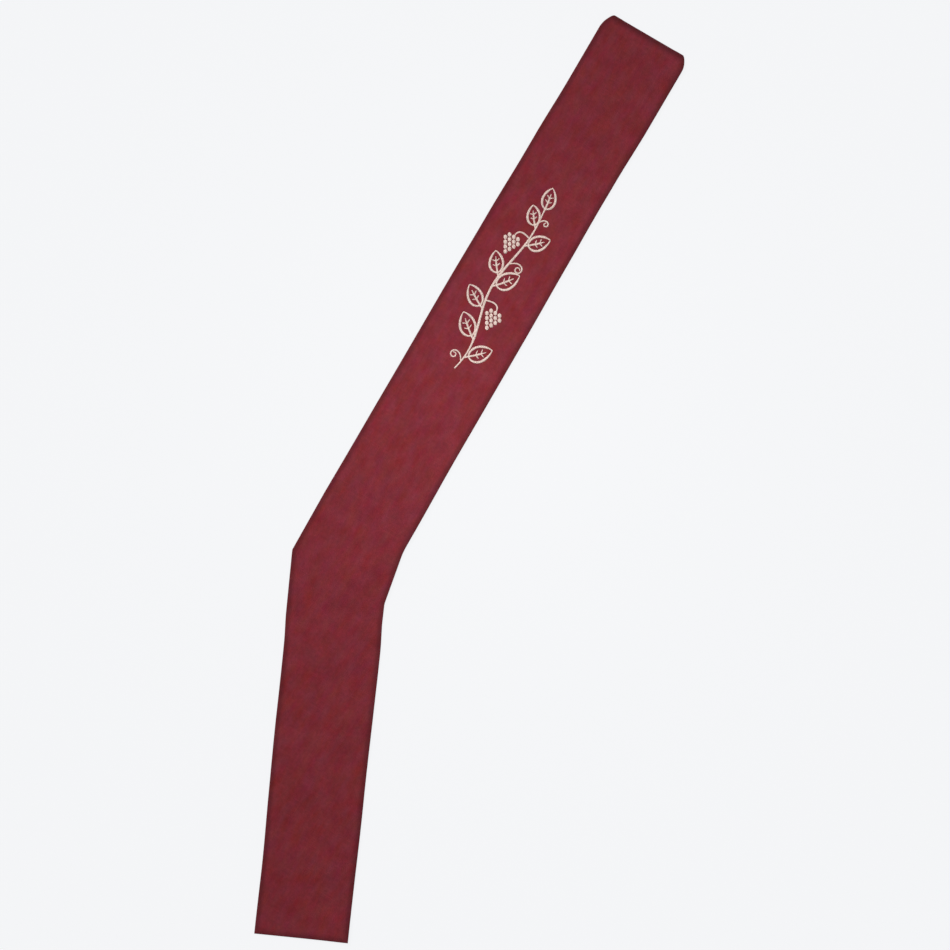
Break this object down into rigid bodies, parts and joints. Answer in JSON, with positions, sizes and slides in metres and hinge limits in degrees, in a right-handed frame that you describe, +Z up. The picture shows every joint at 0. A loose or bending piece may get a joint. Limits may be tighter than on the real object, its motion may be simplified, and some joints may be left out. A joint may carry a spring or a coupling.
{
  "type": "clerical stole",
  "caption": "Diagonal clerical stole laid flat: a long cloth band folded at the shoulder, with an angled turn at the hip and a square hem.",
  "frame": {"origin": "on the surface that the stole lies on, under the middle of its bounding box", "axes": "+Z up, out of the front of the stole; +Y up the stole from the hem towards the shoulder; +X to the right as the front is looked at"},
  "size_m": [0.598, 1.2899, 0.0066],
  "materials": {
    "front_cloth": "matt wine-red plain-woven cloth with pressed, turned edges",
    "back_cloth": "matt wine-red plain-woven cloth with pressed, turned edges",
    "ivory_thread": "ivory embroidery thread with a soft satin sheen"
  },
  "bodies": {
    "root": {"front_band": "front_cloth", "back_band": "back_cloth"}
  },
  "joints": []
}
